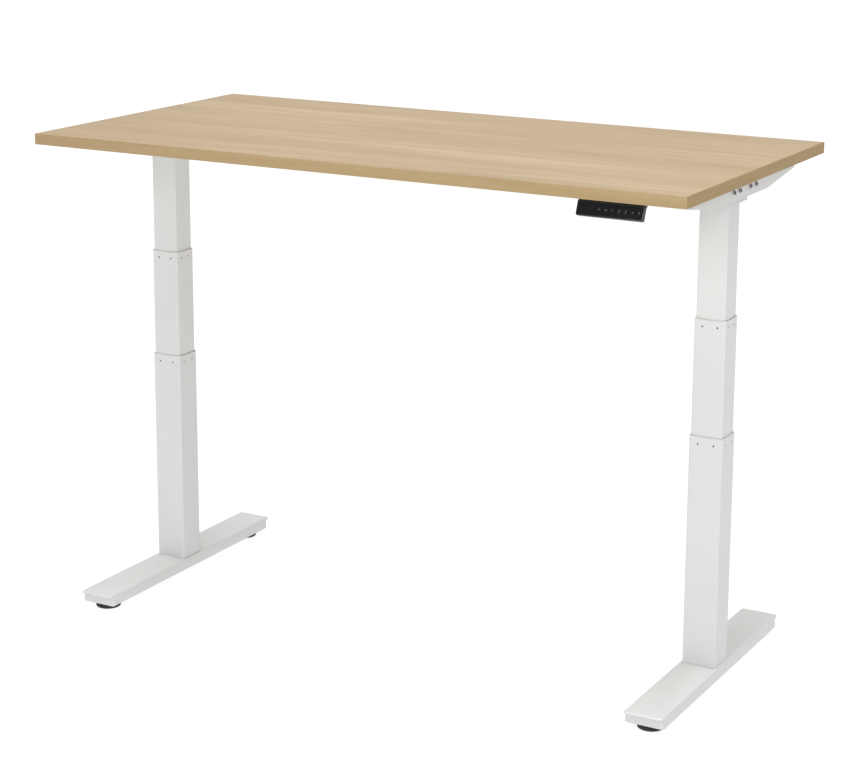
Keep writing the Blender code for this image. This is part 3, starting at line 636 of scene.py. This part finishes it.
def build_bolts():
    """The eight bolts through the side brackets."""
    pattern = socket_bolt(**RAIL_BOLT)
    for label, side in SIDES:
        for number in range(1, 5):
            node = f"{label}_rail_bolt_{number}"
            low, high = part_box(node)
            middle = (low + high) / 2
            seat = (high.x if side > 0 else low.x) - side * RAIL_BOLT["head_height"]
            bolt = put(copy_of(pattern, f"{label}_bracket_bolt_{number}"),
                       facing((seat, middle.y, middle.z), (side, 0, 0)))
            attach(bolt, "top", node)
    bpy.data.objects.remove(pattern)


def build_screws():
    """Wood screws up into the board, and the bolts that hold each column head to the rails."""
    pattern = pan_screw(0.0046, 0.0026)
    places = []
    for label, side in SIDES:
        flange_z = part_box(f"{label}_side_bracket")[1].z - FLANGE_THICKNESS
        places += [(f"{label}_bracket_screw_{number}", (side * FLANGE_X, y, flange_z))
                   for number, y in enumerate(FLANGE_SCREW_PLACES, start=1)]
        low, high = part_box(f"{label}_column_head")
        for along, y in enumerate((-HEAD_BOLT_Y, HEAD_BOLT_Y)):
            for inward, x in enumerate((low.x + HEAD_BOLT_INSET, high.x - HEAD_BOLT_INSET)):
                bolt = put(socket_bolt(**HEAD_BOLT), facing((x, y, low.z + GAP), (0, 0, -1)))
                bolt.name = f"{label}_head_bolt_{along}{inward}"
                attach(bolt, "top")
    low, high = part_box("handset_case")
    for number, x in enumerate((low.x + HANDSET_SCREW_INSET, high.x - HANDSET_SCREW_INSET), start=1):
        places.append((f"handset_screw_{number}", (x, HANDSET_SCREW_Y, high.z - HANDSET_FLANGE)))
    low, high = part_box("control_box_shell")
    inset = BOX_SCREW_INSET
    corners = [(x, y) for y in (low.y + inset, high.y - inset) for x in (low.x + inset, high.x - inset)]
    places += [(f"control_box_screw_{number}", (x, y, low.z)) for number, (x, y) in enumerate(corners, start=1)]
    for name, place in places:
        attach(put(copy_of(pattern, name), facing(place, (0, 0, -1))), "top")
    bpy.data.objects.remove(pattern)


# ---------------------------------------------------------------- motors, control box, handset

def build_motors():
    """Gearbox bored for the drive shaft, and a round motor with its end cap."""
    length = GEARBOX_NEAR - MOTOR_END - GAP
    flange = [(0.0, length), (0.0060, length), (0.0062, length - 0.0010), (0.0140, length - 0.0010),
              (0.0158, length - 0.0022), (0.0162, length - 0.0120)]
    groove = [(0.0154, length - 0.0125), (0.0154, length - 0.0135)]
    can = [(0.0164, length - 0.0140), (0.0164, 0.0040), (0.0150, 0.0036), (0.0150, 0.0), (0.0, 0.0)]
    for label, side in SIDES:
        node = f"{label}_gear_motor"
        low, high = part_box(node)
        near_x, far_x = sorted((side * GEARBOX_NEAR, side * GEARBOX_FAR))
        block = finished(rounded_block((near_x, low.y, low.z), (far_x, high.y, high.z), 0.0025, 4),
                         f"{label}_gearbox", looks["motor_metal"])
        bore = outline_form(circle(GEARBOX_BORE, 32, (side * COLUMN_X, 0.0)), low.z - 0.01, GEARBOX_BORE_TOP)
        combine(block, [tool_shape(bore)], "DIFFERENCE")
        attach(block, "top", node)
        motor = finished(turned_form(flange + groove + can), f"{label}_motor_can", looks["motor_metal"])
        middle_z = (low.z + high.z) / 2 + 0.0005
        put(motor, facing((side * (GEARBOX_NEAR - GAP), 0.0, middle_z), (-side, 0, 0)))
        attach(motor, "top")


def build_control_box():
    """Inlet blades and socket tongues in the control box's rear wall."""
    low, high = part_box("control_box_shell")
    for number, (x, height) in enumerate(INLET_BLADES, start=1):
        blade = rounded_block((x - 0.0020, high.y - 0.010, low.z + height - 0.0006),
                              (x + 0.0020, high.y - 0.001, low.z + height + 0.0006), 0.0003, 2)
        attach(finished(blade, f"inlet_blade_{number}", looks["brass"]), "top")
    for number, x in enumerate(SOCKET_TONGUES, start=1):
        tongue = rounded_block((x - 0.0050, high.y - 0.0090, low.z + 0.0112),
                               (x + 0.0050, high.y - 0.0030, low.z + 0.0150), 0.0004, 2)
        attach(finished(tongue, f"socket_tongue_{number}", looks["black_plastic"]), "top")


def handset_frame():
    """From the handset's own frame (x along its face, -y out of it, z up it) to the desk's."""
    low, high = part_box("handset_panel")
    turn = Matrix.Rotation(-HANDSET_TILT, 4, "X")
    outward = turn @ Vector((0.0, -1.0, 0.0))
    return Matrix.Translation((low + high) / 2 + outward * PANEL_DEPTH) @ turn


def key_pit(face):
    """The recess behind the panel that the keys stand in, in the handset's own frame."""
    lows_and_highs = [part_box(f"key_{shape}") for shape in (KEY_SHAPES[0], KEY_SHAPES[-1])]
    first, last = [(face.inverted() @ ((low + high) / 2)).x for low, high in lows_and_highs]
    return block_form((first - KEY_HALF_WIDTH, -0.004, -KEY_PIT_HALF_HEIGHT),
                      (last + KEY_HALF_WIDTH, KEY_PIT, KEY_PIT_HALF_HEIGHT))


def build_handset():
    """The handset's case: a face with round corners, on a wedge with a flange under the board."""
    low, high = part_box("handset_case")
    face = handset_frame()
    half_width = (high.x - low.x) / 2
    body = rounded_block((-half_width, 0.0, -HANDSET_HALF_HEIGHT),
                         (half_width, HANDSET_THICKNESS, HANDSET_HALF_HEIGHT), HANDSET_CORNER, 6, runs_along(1))
    rim = [edge for edge in body.edges if max(vertex.co.y for vertex in edge.verts) < SAME]
    bmesh.ops.bevel(body, geom=rim, offset=HANDSET_RIM, segments=4, profile=0.5, affect="EDGES")
    case = put(finished(body, "handset_shell", looks["handset_plastic"]), face)

    # The wedge's outline, as (y, z), starts just inside the top of the face.
    top = high.z
    y, z = (face @ Vector((0.0, 0.003, HANDSET_HALF_HEIGHT - 0.003))).yz
    wedge = [(y, z), (y, top), (high.y, top), (high.y, top - HANDSET_FLANGE),
             (y + 0.016, top - 0.0050), (y + 0.0075, z - 0.005), (y, z - 0.006)]
    solid = outline_form(wedge, low.x + 2 * GAP, high.x - 2 * GAP)
    solid.transform(Matrix(((0, 0, 1, 0), (1, 0, 0, 0), (0, 1, 0, 0), (0, 0, 0, 1))))
    combine(case, [tool_shape(solid)], "UNION")

    panel_low, panel_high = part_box("handset_panel")
    half_panel = (panel_high.x - panel_low.x) / 2 + GAP
    pit = rounded_block((-half_panel, -0.004, -PANEL_HALF_HEIGHT - GAP),
                        (half_panel, PANEL_PIT, PANEL_HALF_HEIGHT + GAP), 0.0010, 2, runs_along(1))
    combine(case, [put(tool_shape(form), face) for form in (pit, key_pit(face))], "DIFFERENCE")
    attach(case, "top", "handset_case")


def symbol_points(shape):
    """Strokes of a key's symbol, before SYMBOL_SCALE, in millimetres round the key's middle."""
    strokes = {
        "up": [[(-1.5, -0.7), (0.0, 0.8), (1.5, -0.7)]],
        "down": [[(-1.5, 0.7), (0.0, -0.8), (1.5, 0.7)]],
        "memory": [[(-1.2, 0.0), (0.0, 1.4), (1.2, 0.0), (0.0, -1.4), (-1.2, 0.0)]],
        "1": [[(-0.7, 0.9), (0.0, 1.5), (0.0, -1.5)]],
        "2": [[(-0.9, 0.9), (-0.4, 1.45), (0.45, 1.45), (0.9, 0.9), (0.8, 0.3), (-0.9, -1.5), (0.95, -1.5)]],
        "3": [[(-0.9, 1.5), (0.85, 1.5), (-0.05, 0.35), (0.6, 0.25), (0.95, -0.4), (0.75, -1.1),
               (0.1, -1.5), (-0.6, -1.35), (-0.95, -0.9)]],
        "4": [[(0.45, -1.5), (0.45, 1.5), (-1.0, -0.6), (1.0, -0.6)]],
    }
    return strokes[shape]


def build_symbols():
    """Printed symbols on the keys, as thin raised strokes that move with them."""
    out_of_face = Vector((0.0, -cos(HANDSET_TILT), sin(HANDSET_TILT)))
    up_face = Vector((0.0, sin(HANDSET_TILT), cos(HANDSET_TILT)))
    step = SYMBOL_SCALE * 0.001
    for shape in KEY_SHAPES:
        node = f"key_{shape}"
        low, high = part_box(node)
        vertices = [vertex.co for vertex in frame["nodes"][node].data.vertices]
        face = max(vertex.dot(out_of_face) for vertex in vertices)
        middle = (low + high) / 2
        middle += out_of_face * (face - middle.dot(out_of_face) + 0.00002)
        curve = bpy.data.curves.new(f"symbol_{shape}", "CURVE")
        curve.dimensions = "3D"
        curve.bevel_depth = SYMBOL_STROKE
        curve.bevel_resolution = 1
        curve.use_fill_caps = True
        for stroke in symbol_points(shape):
            spline = curve.splines.new("POLY")
            spline.points.add(len(stroke) - 1)
            for point, (across, up) in zip(spline.points, stroke):
                point.co = (*(middle + Vector((across * step, 0, 0)) + up_face * up * step), 1.0)
        curve.materials.append(looks["print_grey"])
        symbol = bpy.data.objects.new(f"symbol_{shape}", curve)
        bpy.context.scene.collection.objects.link(symbol)
        attach(symbol, node)


# ---------------------------------------------------------------- stage

def build_stage():
    """A pale floor that glows, so that it shows as plain white."""
    form = bmesh.new()
    bmesh.ops.create_grid(form, x_segments=1, y_segments=1, size=60.0)
    shader = Shader("pale_floor", FLOOR_COLOUR, 0.9, specular=0.0)
    shader.surface.inputs["Emission Color"].default_value = (1.0, 1.0, 1.0, 1.0)
    shader.surface.inputs["Emission Strength"].default_value = FLOOR_GLOW
    floor = finished(form, "floor", shader.material)
    floor.location.z = cad_box[0].z - 0.0002


def build_world():
    """White light whose strength depends on the height that it comes from, behind a white backdrop."""
    world = bpy.data.worlds.new("studio")
    bpy.context.scene.world = world
    world.use_nodes = True
    tree = world.node_tree
    place = tree.nodes.new("ShaderNodeTexCoord")
    height = tree.nodes.new("ShaderNodeSeparateXYZ")
    ramp = tree.nodes.new("ShaderNodeValToRGB")
    stops = ramp.color_ramp.elements
    while len(stops) < len(WORLD_STOPS):
        stops.new(0.5)
    for stop, (position, strength) in zip(stops, WORLD_STOPS):
        stop.position = position
        stop.color = (strength, strength, strength, 1.0)
    tree.links.new(place.outputs["Generated"], height.inputs[0])
    tree.links.new(height.outputs["Z"], ramp.inputs["Fac"])
    seen = tree.nodes.new("ShaderNodeLightPath")
    backdrop = tree.nodes.new("ShaderNodeMixRGB")
    backdrop.inputs["Color2"].default_value = (1.0, 1.0, 1.0, 1.0)
    tree.links.new(seen.outputs["Is Camera Ray"], backdrop.inputs["Fac"])
    tree.links.new(ramp.outputs["Color"], backdrop.inputs["Color1"])
    tree.links.new(backdrop.outputs["Color"], tree.nodes["Background"].inputs["Color"])


def build_light(name, place, power, size):
    """A square soft light, aimed at the middle of the desk."""
    light = bpy.data.lights.new(name, "AREA")
    light.energy = power
    light.size = size
    lamp = bpy.data.objects.new(name, light)
    lamp.location = place
    aim = Vector(LIGHT_AIM) - Vector(place)
    lamp.rotation_euler = aim.to_track_quat("-Z", "Y").to_euler()
    lamp.visible_camera = False
    bpy.context.scene.collection.objects.link(lamp)


def build_camera():
    """The camera, at the photograph's viewing angle."""
    data = bpy.data.cameras.new("camera")
    data.lens = CAMERA_LENS
    data.sensor_width = 36.0
    data.shift_y = CAMERA_SHIFT_UP
    data.clip_end = 200.0
    camera = bpy.data.objects.new("camera", data)
    turn = Matrix.Rotation(CAMERA_TURN, 4, "Z") @ Matrix.Rotation(pi / 2 - CAMERA_DOWN, 4, "X")
    camera.matrix_world = Matrix.Translation(CAMERA_PLACE) @ turn @ Matrix.Rotation(CAMERA_ROLL, 4, "Z")
    bpy.context.scene.collection.objects.link(camera)
    bpy.context.scene.camera = camera


build_camera()
looks = build_materials()
dress_frame(looks)
build_edge_bands()
build_feet()
build_glides()
build_bushes()
build_bolts()
build_screws()
build_motors()
build_control_box()
build_handset()
build_symbols()
build_stage()
build_world()
build_light("key", *KEY)
build_light("fill", *FILL)
build_light("back", *BACK)
bpy.context.scene.view_settings.view_transform = "Standard"
bpy.context.scene.view_settings.look = "None"

import json
